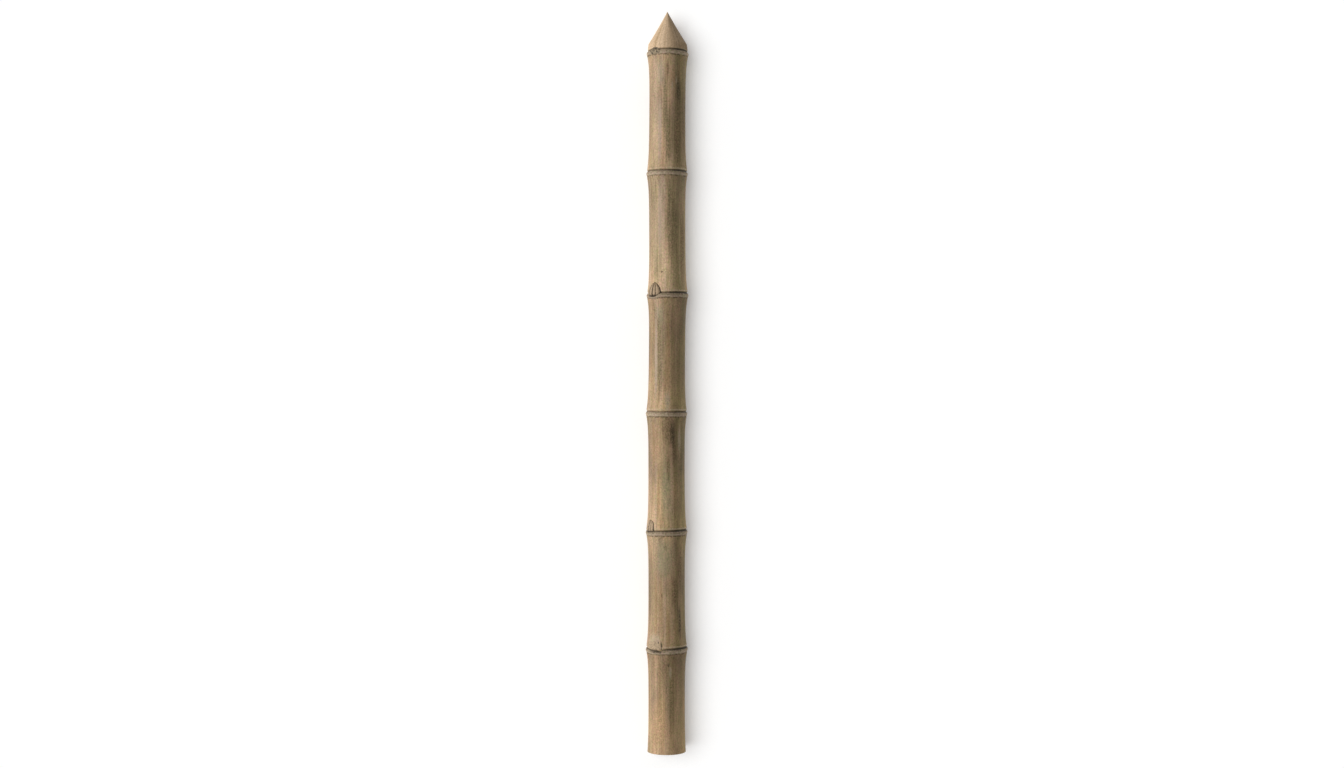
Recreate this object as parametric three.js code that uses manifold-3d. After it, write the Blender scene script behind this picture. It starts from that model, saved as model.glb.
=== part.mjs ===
// A dried bamboo cane, sawn square at its base and cut to a point at its tip, lying on its side.
// Millimetres. +Y runs from the sawn base to the tip and +Z is up. Two of its node rings have a
// small worn flat underneath, and it lies on those.
// An angle round the cane is 0 at the top of the lying cane and grows towards +X.

import * as THREE from "three";
import { mergeVertices } from "three/addons/utils/BufferGeometryUtils.js";
import Module from "manifold-3d";

// The whole cane
const LENGTH = 1200;
const WAIST_DIAMETER_BASE = 59.2;
const WAIST_DIAMETER_TIP = 58.5;

// The nodes from base to tip: where the groove round each one runs, the diameter over its crest,
// and how far the cane's centre line sways to +X and lifts there, because a cane kinks at its nodes.
// tilt is how much the ring leans along the cane from one side to the other.
const NODES = [
  { at: 169.9, crestDiameter: 68.3, sway: -0.8, lift: 0, tilt: 0.8 },
  { at: 359.9, crestDiameter: 67.8, sway: -1, lift: 0.8, tilt: 0.5 },
  { at: 551.6, crestDiameter: 67.3, sway: -1.1, lift: 1, tilt: -0.4 },
  { at: 743.2, crestDiameter: 68.1, sway: 0.5, lift: 1.1, tilt: 0.3 },
  { at: 939.9, crestDiameter: 67.2, sway: -0.2, lift: 0.7, tilt: -0.5 },
  { at: 1134.3, crestDiameter: 68.3, sway: 0.8, lift: 0, tilt: -0.6 },
];
const BASE_SWAY = -0.9;
const TIP_SWAY = 0.3;
// The saw cut was made just above one more node, so the base still flares towards it.
const NODE_BELOW_THE_CUT = -16;

// One node ring, measured along the cane from its groove
const UPPER_FLARE = 3.6;
const UPPER_FLARE_LENGTH = 20;
const LOWER_FLARE_LENGTH = 15.5;
const CREST_BELOW_GROOVE = 4.5;
const GROOVE_DEPTH = 1.4;
const GROOVE_WIDTH = 3;
const CREASE_BELOW_GROOVE = 8.6;
const CREASE_DEPTH = 0.6;
const CREASE_WIDTH = 2.6;
const RING_LEAN_REACH = 22;
// Where the surface is sampled beside each groove, from above it to below it
const RING_ROWS = [42, 23, 11.5, 5, 1.7, 0, -1.7, -3, -5.4, -8.6, -10.6, -16, -26, -44];

// The sharpened tip: a cone with slightly hollow sides
const CONE_LENGTH = 52.7;
const CONE_BASE_RADIUS = 30.6;
const CONE_HOLLOWING = 0.08;
const CONE_ROWS = 7;

// The hollow of the lowest internode, open at the saw cut and closed by the wall of the first node
const BORE_RADIUS = 23.8;
const BORE_DEPTH = 158;
const BORE_END_ROUNDING = 9;
const BORE_DOME = 4;

// The worn flats that the cane rests on
const FLAT_DEPTH = 0.85;

// Buds and bud scars: node counted from 0 at the base, facing angle in degrees, width round the
// cane, height along it, how far it stands out, how many upright scales lie on it, how far its foot
// reaches below the groove, over what share of its height its foot is rounded, and how blunt its tip
// is (3 is pointed, 6 is an arch).
const BUDS = [
  { node: 0, facing: -41, width: 31, height: 18, rise: 0.9, scales: 3, foot: 0.6, round: 0.1, blunt: 4 },
  { node: 1, facing: -64, width: 25, height: 18, rise: 1.9, scales: 3, foot: 0.6, round: 0.12, blunt: 6 },
  { node: 2, facing: 138, width: 21, height: 18, rise: 1.6, scales: 3, foot: 0.6, round: 0.3, blunt: 4 },
  { node: 3, facing: -44, width: 27, height: 21.5, rise: 3.8, scales: 5, foot: 0.6, round: 0.3, blunt: 3 },
  { node: 4, facing: 142, width: 21, height: 18, rise: 1.6, scales: 3, foot: 0.6, round: 0.3, blunt: 4 },
  { node: 5, facing: -40, width: 23, height: 10.5, rise: 0.7, scales: 5, foot: 7.5, round: 0.4, blunt: 4 },
];
const BUD_ROOT_DEPTH = 2.2;
const BUD_BODY_SHARE = 0.72;
const SCALE_SPREAD = 0.62;
const SCALE_LEAN_IN = 0.8;

// Where a groove dips towards the base, under a bud or as a hook beside an old scar: the node, the
// facing angle, how deep it dips, and how far round and along the cane it fades out
const DIPS = [
  { node: 0, facing: -20, depth: 3.4, halfAngle: 11, reach: 9 },
  { node: 0, facing: -38, depth: 1.6, halfAngle: 14, reach: 11 },
  { node: 1, facing: -60, depth: 0.8, halfAngle: 20, reach: 14 },
  { node: 2, facing: 138, depth: 1.5, halfAngle: 20, reach: 14 },
  { node: 3, facing: -44, depth: 4.6, halfAngle: 17, reach: 8 },
  { node: 4, facing: 142, depth: 1.5, halfAngle: 20, reach: 14 },
];

// How finely the curved surfaces are divided
const COLUMNS = 36;
const BUD_BODY_CELLS = { across: 6, along: 6 };
const BUD_SCALE_CELLS = { across: 2, along: 5 };

const DRY_BAMBOO = new THREE.MeshStandardMaterial({
  color: 0xa88f6b,
  roughness: 0.72,
  metalness: 0,
});

const wasm = await Module();
wasm.setup();

const radians = THREE.MathUtils.degToRad;
const lerp = THREE.MathUtils.lerp;

// A smooth bump that is 1 in the middle and nearly 0 one width away
function bump(distance, width) {
  return Math.exp(-((distance / width) ** 2));
}

// The cane's bare radius at s, measured from the saw cut, without its rings
function waistRadius(s) {
  return lerp(WAIST_DIAMETER_BASE, WAIST_DIAMETER_TIP, s / LENGTH) / 2;
}

// The centre line is straight inside each internode and bends only at the nodes.
function centreLine(s) {
  const stops = [
    { at: 0, sway: BASE_SWAY, lift: 0 },
    ...NODES,
    { at: LENGTH, sway: TIP_SWAY, lift: 0 },
  ];
  const next = Math.max(1, stops.findIndex((stop) => stop.at >= s));
  const [a, b] = [stops[next - 1], stops[next]];
  const share = (s - a.at) / (b.at - a.at);
  return { sway: lerp(a.sway, b.sway, share), lift: lerp(a.lift, b.lift, share) };
}

// How far one ring stands out of the bare cane, at a distance above its groove
function ringHeight(above, crest) {
  let height;
  if (above >= 0) height = UPPER_FLARE * Math.exp(-above / UPPER_FLARE_LENGTH);
  else if (above <= -CREST_BELOW_GROOVE)
    height = crest * Math.exp((above + CREST_BELOW_GROOVE) / LOWER_FLARE_LENGTH);
  else height = lerp(UPPER_FLARE, crest, Math.sin((-above / CREST_BELOW_GROOVE) * (Math.PI / 2)));
  height -= GROOVE_DEPTH * bump(above, GROOVE_WIDTH / 2);
  height -= CREASE_DEPTH * bump(above + CREASE_BELOW_GROOVE, CREASE_WIDTH / 2);
  return height;
}

// The outer radius at s, before the rings are tilted
function outerRadius(s) {
  if (s >= LENGTH - CONE_LENGTH) {
    const share = (LENGTH - s) / CONE_LENGTH;
    return CONE_BASE_RADIUS * ((1 - CONE_HOLLOWING) * share + CONE_HOLLOWING * share * share);
  }
  let radius = waistRadius(s);
  radius += UPPER_FLARE * Math.exp(-(s - NODE_BELOW_THE_CUT) / UPPER_FLARE_LENGTH);
  for (const node of NODES)
    radius += ringHeight(s - node.at, node.crestDiameter / 2 - waistRadius(node.at));
  return radius;
}

// How far a ring's lines move along the cane, at an angle and a distance above its groove: the ring's
// own lean, and the dips of its groove
function ringShift(index, angle, above) {
  let shift = NODES[index].tilt * Math.sin(radians(angle)) * bump(above, RING_LEAN_REACH);
  for (const dip of DIPS.filter((each) => each.node === index)) {
    const away = THREE.MathUtils.euclideanModulo(angle - dip.facing + 180, 360) - 180;
    shift -= dip.depth * bump(away, dip.halfAngle) * bump(above, dip.reach);
  }
  return shift;
}

// The height of the cane's centre line over the surface that it lies on
const AXIS_HEIGHT = NODES[0].crestDiameter / 2 - FLAT_DEPTH;

// A point at an angle round the cane, a radius and a place along it
function pointAt(angle, radius, s) {
  const centre = centreLine(s);
  return new THREE.Vector3(
    centre.sway + radius * Math.sin(radians(angle)),
    s - LENGTH / 2,
    AXIS_HEIGHT + centre.lift + radius * Math.cos(radians(angle)),
  );
}

// A closed mesh from rings of points: a fan at each end and a band between each two rings
function closeRings(first, rings, last) {
  const points = [first, ...rings.flat(), last];
  const count = rings[0].length;
  const faces = [];
  const at = (ring, column) => 1 + ring * count + (column % count);
  for (let column = 0; column < count; column++) {
    faces.push(0, at(0, column + 1), at(0, column));
    faces.push(points.length - 1, at(rings.length - 1, column), at(rings.length - 1, column + 1));
    for (let ring = 0; ring + 1 < rings.length; ring++) {
      faces.push(at(ring, column), at(ring, column + 1), at(ring + 1, column + 1));
      faces.push(at(ring, column), at(ring + 1, column + 1), at(ring + 1, column));
    }
  }
  return geometryOf(points, faces);
}

function geometryOf(points, faces) {
  const geometry = new THREE.BufferGeometry().setFromPoints(points);
  geometry.setIndex(faces);
  return geometry;
}

function solidOf(geometry) {
  const merged = mergeVertices(geometry, 1e-4);
  const triVerts = new Uint32Array(merged.index.array);
  const vertProperties = merged.attributes.position.array;
  return new wasm.Manifold(new wasm.Mesh({ numProp: 3, vertProperties, triVerts }));
}

// The places along the cane where the outside is sampled, each with the ring that it belongs to
function outerRows() {
  const rows = [{ s: 0, node: -1, above: 0 }, { s: 26, node: -1, above: 0 }];
  NODES.forEach((node, index) => {
    for (const above of [...RING_ROWS].reverse()) {
      const s = node.at + above;
      if (s < LENGTH - CONE_LENGTH - 1) rows.push({ s, node: index, above });
    }
  });
  for (let row = 0; row < CONE_ROWS; row++)
    rows.push({ s: LENGTH - CONE_LENGTH * (1 - row / CONE_ROWS), node: -1, above: 0 });
  return rows;
}

// One ring of points on the outside of the cane, flattened where it would pass below the surface
// that the cane lies on
function outerRing(row) {
  const radius = outerRadius(row.s);
  const points = [];
  for (let column = 0; column < COLUMNS; column++) {
    const angle = (column * 360) / COLUMNS;
    const shift = row.node < 0 ? 0 : ringShift(row.node, angle, row.above);
    const point = pointAt(angle, radius, row.s + shift);
    point.z = Math.max(0, point.z);
    points.push(point);
  }
  return points;
}

// Rings of points down the hollow of the lowest internode, from its domed end to the saw cut
function boreRings() {
  const rings = [];
  const ring = (radius, s) => {
    const points = [];
    for (let column = 0; column < COLUMNS; column++)
      points.push(pointAt((column * 360) / COLUMNS, radius, s));
    rings.push(points);
  };
  for (const turn of [30, 60, 90]) {
    const radius = BORE_RADIUS - BORE_END_ROUNDING * (1 - Math.sin(radians(turn)));
    ring(radius, BORE_DEPTH - BORE_END_ROUNDING * (1 - Math.cos(radians(turn))));
  }
  ring(BORE_RADIUS + 0.3, BORE_DEPTH / 2);
  ring(BORE_RADIUS, 0);
  return rings;
}

// Half the width of a bud as a share of its full half width, from its rounded foot at 0 to its tip
// at 1
function budOutline(up, round, blunt) {
  const cut = 1 - Math.min(up / round, 1);
  return (1 - Math.pow(up, blunt)) * (0.3 + 0.7 * Math.sqrt(1 - cut * cut)) + 0.05;
}

// One scale or the body of a bud: a leaf-shaped shell, rounded across, thick at its foot and thin
// at its top, sunk into the cane by its root. lean is how far its foot stands to one side.
function budPly({ node, facing, width, height, rise, foot, round, blunt, lean, cells }) {
  const footAt = NODES[node].at + ringShift(node, facing, 0) - foot;
  const columns = cells.across + 1;
  const outer = [];
  const inner = [];
  for (let j = 0; j <= cells.along; j++) {
    const up = j / cells.along;
    const outline = budOutline(up, round, blunt);
    const thickness = rise * (0.82 + 0.7 * up - 1.35 * up * up);
    for (let i = 0; i < columns; i++) {
      const across = (2 * i) / cells.across - 1;
      const side = lean * (1 - SCALE_LEAN_IN * up) + (across * outline * width) / 2;
      const sag = (1 - across * across) * (1 - up) * rise * 0.5;
      const s = footAt + up * height - sag;
      const surface = outerRadius(s - ringShift(node, facing, s - NODES[node].at));
      const angle = facing + THREE.MathUtils.radToDeg(side / surface);
      const crown = 0.4 + 0.6 * (1 - across * across);
      outer.push(pointAt(angle, Math.max(surface, waistRadius(s)) + thickness * crown, s));
      inner.push(pointAt(angle, waistRadius(s) - BUD_ROOT_DEPTH, s));
    }
  }
  return solidOf(shellBetween(outer, inner, columns, cells.along + 1));
}

// A closed shell between two grids of points of the same layout, the first of them outside
function shellBetween(outer, inner, columns, rows) {
  const points = [...outer, ...inner];
  const far = outer.length;
  const faces = [];
  const quad = (a, b, c, d) => faces.push(a, b, c, a, c, d);
  for (let j = 0; j + 1 < rows; j++)
    for (let i = 0; i + 1 < columns; i++) {
      const [a, b] = [j * columns + i, j * columns + i + 1];
      const [c, d] = [b + columns, a + columns];
      quad(a, b, c, d);
      quad(far + a, far + d, far + c, far + b);
    }
  const rim = [];
  for (let i = 0; i < columns; i++) rim.push(i);
  for (let j = 1; j < rows; j++) rim.push(j * columns + columns - 1);
  for (let i = columns - 2; i >= 0; i--) rim.push((rows - 1) * columns + i);
  for (let j = rows - 2; j > 0; j--) rim.push(j * columns);
  rim.forEach((a, k) => {
    const b = rim[(k + 1) % rim.length];
    quad(b, a, far + a, far + b);
  });
  return geometryOf(points, faces);
}

// A bud: a low body with upright scales on it that lean in to one tip
function bud({ node, facing, width, height, rise, scales, foot, round, blunt }) {
  const body = budPly({
    node,
    facing,
    width,
    height,
    foot,
    round,
    blunt,
    rise: rise * BUD_BODY_SHARE,
    lean: 0,
    cells: BUD_BODY_CELLS,
  });
  let whole = body;
  for (let k = 0; k < scales; k++) {
    const place = k / (scales - 1) - 0.5;
    const scale = budPly({
      node,
      facing,
      width: (width * 0.8) / scales,
      height: height * (1.02 - 0.35 * Math.abs(place)),
      rise: rise * (1.05 - 0.3 * Math.abs(place)),
      foot,
      round,
      blunt,
      lean: width * SCALE_SPREAD * place,
      cells: BUD_SCALE_CELLS,
    });
    whole = whole.add(scale);
  }
  return whole;
}

function caneSolid() {
  const septum = pointAt(0, 0, BORE_DEPTH + BORE_DOME);
  const tip = pointAt(0, 0, LENGTH);
  const rings = [...boreRings(), ...outerRows().map(outerRing)];
  let cane = solidOf(closeRings(septum, rings, tip));
  for (const each of BUDS) cane = cane.add(bud(each));
  return cane;
}

// A solid as a mesh geometry, moved so that the middle of its length and width is at x = y = 0
function centredGeometry(solid) {
  const mesh = solid.getMesh();
  const geometry = new THREE.BufferGeometry();
  geometry.setAttribute("position", new THREE.BufferAttribute(mesh.vertProperties, 3));
  geometry.setIndex(new THREE.BufferAttribute(mesh.triVerts, 1));
  geometry.computeBoundingBox();
  const middle = geometry.boundingBox.getCenter(new THREE.Vector3());
  geometry.translate(-middle.x, -middle.y, 0);
  geometry.computeVertexNormals();
  return geometry;
}

const culm = new THREE.Mesh(centredGeometry(caneSolid()), DRY_BAMBOO);
culm.name = "culm";

const cane = new THREE.Group();
cane.add(culm);

export default cane;
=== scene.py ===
# %% [markdown]
# # A dried bamboo cane, lying on its side
# This lesson dresses a bamboo cane that is 1.2 m long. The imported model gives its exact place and
# size, and here the cane gets its fine shape and its weathered skin. Everything is in metres, with
# +Y from the sawn base to the pointed tip, and +Z up.

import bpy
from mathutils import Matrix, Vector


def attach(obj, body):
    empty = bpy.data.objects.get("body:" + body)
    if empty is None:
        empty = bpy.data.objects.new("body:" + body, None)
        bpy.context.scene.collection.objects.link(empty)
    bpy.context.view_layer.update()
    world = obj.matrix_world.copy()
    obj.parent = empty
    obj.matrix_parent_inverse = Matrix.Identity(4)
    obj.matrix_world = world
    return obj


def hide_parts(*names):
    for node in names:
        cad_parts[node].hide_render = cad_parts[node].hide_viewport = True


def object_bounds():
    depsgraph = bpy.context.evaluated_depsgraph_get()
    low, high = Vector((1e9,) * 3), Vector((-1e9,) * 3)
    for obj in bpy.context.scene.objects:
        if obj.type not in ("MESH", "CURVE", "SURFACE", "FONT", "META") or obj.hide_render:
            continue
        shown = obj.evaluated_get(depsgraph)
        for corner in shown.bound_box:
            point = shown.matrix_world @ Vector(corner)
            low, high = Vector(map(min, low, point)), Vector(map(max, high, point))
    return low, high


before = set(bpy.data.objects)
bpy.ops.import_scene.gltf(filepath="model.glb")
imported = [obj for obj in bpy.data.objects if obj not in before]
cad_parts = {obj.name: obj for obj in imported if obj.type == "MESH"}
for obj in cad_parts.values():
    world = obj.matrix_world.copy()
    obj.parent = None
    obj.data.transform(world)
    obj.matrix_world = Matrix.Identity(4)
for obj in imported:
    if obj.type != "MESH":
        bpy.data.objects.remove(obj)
cad_low, cad_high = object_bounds()
print("the packed cane spans", [round(v, 4) for v in (*cad_low, *cad_high)])

# %% Python's own tools
import math

import bpy
import numpy as np
from mathutils import Vector
from mathutils.kdtree import KDTree

scene = bpy.context.scene


def in_mm(metres):
    return round(metres * 1000, 1)


print("the packed cane is", in_mm(cad_high[1] - cad_low[1]), "mm long")

# %% [markdown]
# ## Camera
# The photograph was taken square to the middle of the cane, so a camera that looks straight down on
# the lying cane gives the same picture. The lens and the distance come from how much the rings curve
# towards the two ends: they arch up near the tip and down near the base.

# %% Place the camera
AXIS_HEIGHT = 0.0333  # the cane's centre line over the surface that it lies on
LENS_MM = 46
SENSOR_MM = 36
CAMERA_DISTANCE = 2.787
CAMERA_OFFSET = (0.0078, -0.0043)

camera = bpy.data.objects.new("camera", bpy.data.cameras.new("camera"))
scene.collection.objects.link(camera)
camera.location = (*CAMERA_OFFSET, AXIS_HEIGHT + CAMERA_DISTANCE)
camera.data.lens = LENS_MM
camera.data.sensor_width = SENSOR_MM
scene.camera = camera
print("the camera looks straight down from", round(camera.location.z, 3), "m")

# %% [markdown]
# ## The sizes of the cane
# A bamboo stem is a row of slightly waisted tubes. At each node it swells to a ring with a groove
# round it, where a leaf sheath once sat: above the groove the stem flares gently, below it there is
# a rounded crest, a pale band and a thin crease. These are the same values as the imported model's.

# %% The whole cane
LENGTH = 1.2
WAIST_RADIUS_BASE = 0.0296
WAIST_RADIUS_TIP = 0.02925
BASE_SWAY = -0.0009
TIP_SWAY = 0.0003
NODE_BELOW_THE_CUT = -0.016

# Of each node: its groove's place from the saw cut, its crest's radius, how it sways, lifts and
# leans, and how dark its groove is.
NODES = [
    dict(at=0.1699, crest=0.03415, sway=-0.0008, lift=0.0, tilt=0.0008, dark=0.78),
    dict(at=0.3599, crest=0.0339, sway=-0.0010, lift=0.0008, tilt=0.0005, dark=0.82),
    dict(at=0.5516, crest=0.03365, sway=-0.0011, lift=0.0010, tilt=-0.0004, dark=0.6),
    dict(at=0.7432, crest=0.03405, sway=0.0005, lift=0.0011, tilt=0.0003, dark=0.82),
    dict(at=0.9399, crest=0.0336, sway=-0.0002, lift=0.0007, tilt=-0.0005, dark=0.75),
    dict(at=1.1343, crest=0.03415, sway=0.0008, lift=0.0, tilt=-0.0006, dark=0.7),
]
print("the cane has", len(NODES), "nodes")

# %% One node ring
UPPER_FLARE = 0.0036
UPPER_FLARE_LENGTH = 0.020
LOWER_FLARE_LENGTH = 0.0155
CREST_BELOW_GROOVE = 0.0045
GROOVE_DEPTH = 0.0016
GROOVE_WIDTH = 0.0028
CREASE_BELOW_GROOVE = 0.0086
CREASE_DEPTH = 0.0004
CREASE_WIDTH = 0.0014


def bump(distance, width):
    """1 in the middle and nearly 0 two widths away."""
    return math.exp(-((distance / width) ** 2))


def mix_between(a, b, share):
    return a + (b - a) * share


def ring_height(above, crest):
    """How far a ring stands out of the bare cane at a distance above its groove."""
    if above >= 0:
        height = UPPER_FLARE * math.exp(-above / UPPER_FLARE_LENGTH)
    elif above <= -CREST_BELOW_GROOVE:
        height = crest * math.exp((above + CREST_BELOW_GROOVE) / LOWER_FLARE_LENGTH)
    else:
        turn = math.sin(-above / CREST_BELOW_GROOVE * math.pi / 2)
        height = mix_between(UPPER_FLARE, crest, turn)
    height -= GROOVE_DEPTH * bump(above, GROOVE_WIDTH / 2)
    return height - CREASE_DEPTH * bump(above + CREASE_BELOW_GROOVE, CREASE_WIDTH / 2)


crest = NODES[0]["crest"] - WAIST_RADIUS_BASE
print("the lowest ring stands", in_mm(ring_height(-CREST_BELOW_GROOVE, crest)), "mm out at its crest")

# %% The cane's radius and centre line
CONE_LENGTH = 0.0527
CONE_BASE_RADIUS = 0.0306
CONE_HOLLOWING = 0.08


def waist_radius(s):
    return mix_between(WAIST_RADIUS_BASE, WAIST_RADIUS_TIP, s / LENGTH)


def outer_radius(s):
    """The cane's radius at s, measured along it from the saw cut."""
    if s >= LENGTH - CONE_LENGTH:
        share = (LENGTH - s) / CONE_LENGTH
        return CONE_BASE_RADIUS * share * (1 - CONE_HOLLOWING + CONE_HOLLOWING * share)
    radius = waist_radius(s)
    radius += UPPER_FLARE * math.exp(-(s - NODE_BELOW_THE_CUT) / UPPER_FLARE_LENGTH)
    for each in NODES:
        radius += ring_height(s - each["at"], each["crest"] - waist_radius(each["at"]))
    return radius


def centre_line(s):
    """The centre of the cane at s: straight in each internode, with a small kink at each node."""
    places = [0, *(each["at"] for each in NODES), LENGTH]
    sways = [BASE_SWAY, *(each["sway"] for each in NODES), TIP_SWAY]
    lifts = [0, *(each["lift"] for each in NODES), 0]
    sway, lift = np.interp(s, places, sways), np.interp(s, places, lifts)
    return Vector((sway, s - LENGTH / 2, AXIS_HEIGHT + lift))


print("half way along, the cane is", in_mm(2 * outer_radius(LENGTH / 2)), "mm thick")

# %% [markdown]
# ## The culm
# The stem is one long tube, so it is drawn as one: a circle at the saw cut, extruded along the cane
# again and again. Each new ring is moved to the centre line and scaled to the cane's radius there.
# A turned profile would be quicker, but it could not follow the bends of the centre line.
# Close rings go where the surface turns quickly, beside the grooves, and wide ones in the internodes.

# %% Where the rings of points go
COLUMNS = 72
FIRST_ROWS = [0.0006, 0.004]
FILL_STEP = 0.012
RING_ROWS_MM = [
    32, 22, 15, 10.5, 7.2, 5, 3.4, 2.3, 1.5, 0.8, 0.1, -0.6, -1.3,
    -2, -3, -4.2, -5.6, -7, -8, -8.6, -9.2, -10.2, -12, -15.5, -21, -30,
]
CONE_ROWS = 9
TIP_ROW = 0.0015
TIP_RADIUS = 0.0005
SHOULDER_SUPPORT = 0.0007


def rows_along():
    """The places of the rings of points along the outside of the cane."""
    shoulder = LENGTH - CONE_LENGTH
    rows = list(FIRST_ROWS)
    for each in NODES:
        ring = sorted(each["at"] + mm / 1000 for mm in RING_ROWS_MM)
        gap = ring[0] - rows[-1]
        steps = max(1, round(gap / FILL_STEP))
        rows += [rows[-1] + gap * k / steps for k in range(1, steps)]
        rows += [s for s in ring if s < shoulder - 2 * SHOULDER_SUPPORT]
    rows += [shoulder - SHOULDER_SUPPORT, shoulder, shoulder + SHOULDER_SUPPORT]
    rows += [shoulder + CONE_LENGTH * k / CONE_ROWS for k in range(1, CONE_ROWS)]
    return rows + [LENGTH - TIP_ROW, LENGTH]


OUTSIDE_ROWS = rows_along()
print(len(OUTSIDE_ROWS), "rings of", COLUMNS, "points along the cane")

# %% Helpers for edit mode
def select_only(piece):
    bpy.ops.object.select_all(action="DESELECT")
    bpy.context.view_layer.objects.active = piece
    piece.select_set(True)


def switch_to(mode):
    """Edit mode is "EDIT" and object mode is "OBJECT"."""
    bpy.ops.object.mode_set(mode=mode)


def edit_all_points(piece):
    select_only(piece)
    switch_to("EDIT")
    bpy.ops.mesh.select_all(action="SELECT")


def read(items, name, size=3):
    """One value of every point or face, such as its place, as rows of so many numbers."""
    flat = np.empty(len(items) * size)
    items.foreach_get(name, flat)
    return flat.reshape(-1, size)


def points_of(piece):
    """The places of all points, read in object mode."""
    return read(piece.data.vertices, "co")


def select_points(piece, chosen):
    """Leaves edit mode, selects these points and nothing else, and goes back in."""
    switch_to("EDIT")
    bpy.ops.mesh.select_mode(type="VERT")
    bpy.ops.mesh.select_all(action="DESELECT")
    switch_to("OBJECT")
    piece.data.vertices.foreach_set("select", chosen)
    switch_to("EDIT")


def apply_modifier(piece, kind, **settings):
    """Adds a modifier, sets it and applies it."""
    select_only(piece)
    added = piece.modifiers.new(kind.lower(), kind)
    for name, value in settings.items():
        setattr(added, name, value)
    bpy.ops.object.modifier_apply(modifier=added.name)


print("edit helpers are ready")

# %% Extrude the outside, from the saw cut to the tip
def extrude_ring(start, end, start_radius, end_radius):
    """Extrudes the selected ring from one centre to another and scales it to its new radius."""
    bpy.ops.mesh.extrude_region_move(TRANSFORM_OT_translate={"value": end - start})
    scale = end_radius / start_radius
    bpy.ops.transform.resize(value=(scale, 1, scale), center_override=end)


bpy.ops.mesh.primitive_circle_add(
    vertices=COLUMNS,
    radius=outer_radius(0),
    location=centre_line(0),
    rotation=(math.pi / 2, 0, 0),
)
culm = bpy.context.object
culm.name = culm.data.name = "bamboo_culm"
bpy.ops.object.transform_apply(location=True, rotation=True, scale=True)

edit_all_points(culm)
place, radius = 0.0, outer_radius(0)
for s in OUTSIDE_ROWS:
    next_radius = max(outer_radius(s), TIP_RADIUS)
    extrude_ring(centre_line(place), centre_line(s), radius, next_radius)
    place, radius = s, next_radius
bpy.ops.mesh.merge(type="CENTER")
switch_to("OBJECT")
print("the outside has", len(culm.data.vertices), "points")

# %% [markdown]
# ## The sawn end and the hollow
# The saw went through just above a node, so the lowest internode is open. Its wall is about 7 mm
# thick, and the wall across the next node closes it with a slightly domed floor. The ring at the
# saw cut is selected again, scaled inwards for the cut face, and then extruded into the cane. A
# cylinder could be cut out instead, but this way the faces keep their even rows.

# %% Extrude the cut face and the hollow
BORE_RADIUS = 0.0238
BORE_DEPTH = 0.158
BORE_END_ROUNDING = 0.009
BORE_DOME = 0.004
BORE_FIRST_ROW = 0.0006
BORE_ROW_COUNT = 9
BORE_CORNER_TURNS = (25, 50, 75, 90)
BORE_FLOOR_SHARES = (0.7, 0.4, 0.12)
CUT_FACE_SHARES = (0.02, 0.12, 0.35, 0.65, 0.92, 1.0)
AT_THE_CUT = 1e-5

select_points(culm, points_of(culm)[:, 1] < -LENGTH / 2 + AT_THE_CUT)
radius = outer_radius(0)
for share in CUT_FACE_SHARES:
    next_radius = mix_between(outer_radius(0), BORE_RADIUS, share)
    extrude_ring(centre_line(0), centre_line(0), radius, next_radius)
    radius = next_radius

bore = [(BORE_FIRST_ROW, BORE_RADIUS)]
straight = BORE_DEPTH - BORE_END_ROUNDING
for k in range(1, BORE_ROW_COUNT + 1):
    bore.append((straight * k / BORE_ROW_COUNT, BORE_RADIUS))
for turn in BORE_CORNER_TURNS:
    sine, cosine = math.sin(math.radians(turn)), math.cos(math.radians(turn))
    bore.append((straight + BORE_END_ROUNDING * sine, BORE_RADIUS - BORE_END_ROUNDING * (1 - cosine)))
for share in BORE_FLOOR_SHARES:
    flat_radius = (BORE_RADIUS - BORE_END_ROUNDING) * share
    bore.append((BORE_DEPTH + BORE_DOME * (1 - share**2), flat_radius))
place = 0.0
for s, next_radius in bore:
    extrude_ring(centre_line(place), centre_line(s), radius, next_radius)
    place, radius = s, next_radius
bpy.ops.mesh.merge(type="CENTER")
bpy.ops.mesh.select_all(action="SELECT")
bpy.ops.mesh.normals_make_consistent(inside=False)
switch_to("OBJECT")
print("with its hollow the culm has", len(culm.data.polygons), "faces")

# %% [markdown]
# ## Where the grooves run
# The skin's colours follow the rings, so each point keeps six numbers: how far above the nearest
# groove it is, whether it is near that groove at all, the number of its internode, how dark its
# groove is, and how light and how warm the skin is there, since no two internodes weathered alike.
# The numbers are written now, while every ring is still square, and stay with the points when the
# rings are leaned and dipped.

# %% How each internode weathered
# Of each internode: how light its skin is at its lower end, its middle and its upper end, and how warm.
INTERNODES = [
    dict(tones=(1.24, 1.05, 0.78), warm=0.80),
    dict(tones=(1.02, 0.88, 1.00), warm=0.60),
    dict(tones=(1.23, 0.95, 0.79), warm=0.60),
    dict(tones=(1.06, 0.84, 0.84), warm=0.60),
    dict(tones=(1.40, 1.12, 0.94), warm=0.05),
    dict(tones=(1.10, 0.90, 1.08), warm=0.30),
    dict(tones=(1.0, 1.0, 1.0), warm=0.20),
]
print("the internodes are", [each["tones"][1] for each in INTERNODES], "light in the middle")

# %% Write the numbers on the points
RING_REACH = 0.035
RING_FADE = 0.012
NODE_ABOVE_THE_TIP = 1.33
END_DARKNESS = 0.8
TONE_PLACES = (0.08, 0.5, 0.92)


def write_number(piece, name, values):
    """Writes a number on every point, new or over the one that was there."""
    layers = piece.data.attributes
    layer = layers.get(name) or layers.new(name, "FLOAT", "POINT")
    layer.data.foreach_set("value", np.asarray(values, np.float32))


def read_number(piece, name):
    return read(piece.data.attributes[name].data, "value", size=1).ravel()


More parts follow.
